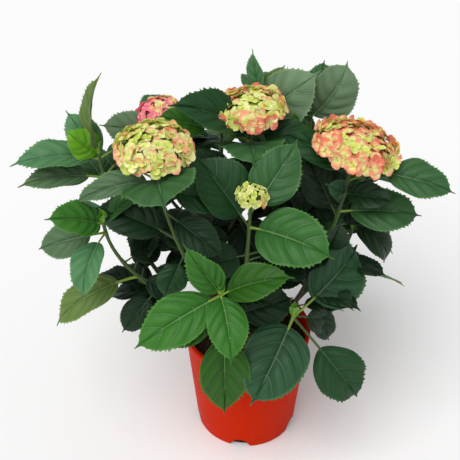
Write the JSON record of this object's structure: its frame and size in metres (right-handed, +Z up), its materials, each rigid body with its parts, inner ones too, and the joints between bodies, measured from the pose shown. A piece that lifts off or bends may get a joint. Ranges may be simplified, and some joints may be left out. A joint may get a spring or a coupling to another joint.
{
  "type": "potted hydrangea shrub",
  "caption": "Leafy hydrangea shrub with rounded flower heads, growing in a round tapered plastic pot with a low moulded rim.",
  "frame": {"origin": "centre of the flat underside of the pot", "axes": "+Z up along the pot's axis; -Y is the side with the low front shoots, and the large flower head on the right of that view is towards +X"},
  "size_m": [0.5618, 0.429, 0.5846],
  "materials": {
    "pot_plastic": "orange-red moulded polypropylene, semi-gloss",
    "potting_compost": "dark brown moist potting compost, matt",
    "cane_bark": "thin brown-green bark with raised pores, matt",
    "green_stem": "fresh green stem, satin",
    "leaves": "toothed leaves with raised veins, satin",
    "flowers": "yellow-green to coral sepals, soft matt"
  },
  "bodies": {
    "root": {"pot": "pot_plastic", "root-ball": "potting_compost", "stump": "cane_bark", "cane-left": "cane_bark", "cane-front": "cane_bark", "cane-right": "cane_bark", "cane-back-left": "cane_bark", "cane-back-right": "cane_bark", "leaves-left-high": "leaves", "stem-left-high": "green_stem", "leaves-left-low": "leaves", "stem-left-low": "green_stem", "flower-head-left-front": "flowers", "leaves-bloom-left-front": "leaves", "stem-bloom-left-front": "green_stem", "flower-head-left-back": "flowers", "leaves-bloom-left-back": "leaves", "stem-bloom-left-back": "green_stem", "flower-head-centre": "flowers", "leaves-bloom-centre": "leaves", "stem-bloom-centre": "green_stem", "flower-head-small": "flowers", "leaves-bloom-small": "leaves", "stem-bloom-small": "green_stem", "flower-head-right": "flowers", "leaves-bloom-right": "leaves", "stem-bloom-right": "green_stem", "leaves-top-right": "leaves", "stem-top-right": "green_stem", "leaves-top-back": "leaves", "stem-top-back": "green_stem", "leaves-front-low": "leaves", "stem-front-low": "green_stem", "leaves-front-right-low": "leaves", "stem-front-right-low": "green_stem", "leaves-right-low": "leaves", "stem-right-low": "green_stem", "leaves-right-back": "leaves", "stem-right-back": "green_stem", "leaves-back-right": "leaves", "stem-back-right": "green_stem", "leaves-back-centre": "leaves", "stem-back-centre": "green_stem", "leaves-back-left": "leaves", "stem-back-left": "green_stem"}
  },
  "joints": []
}
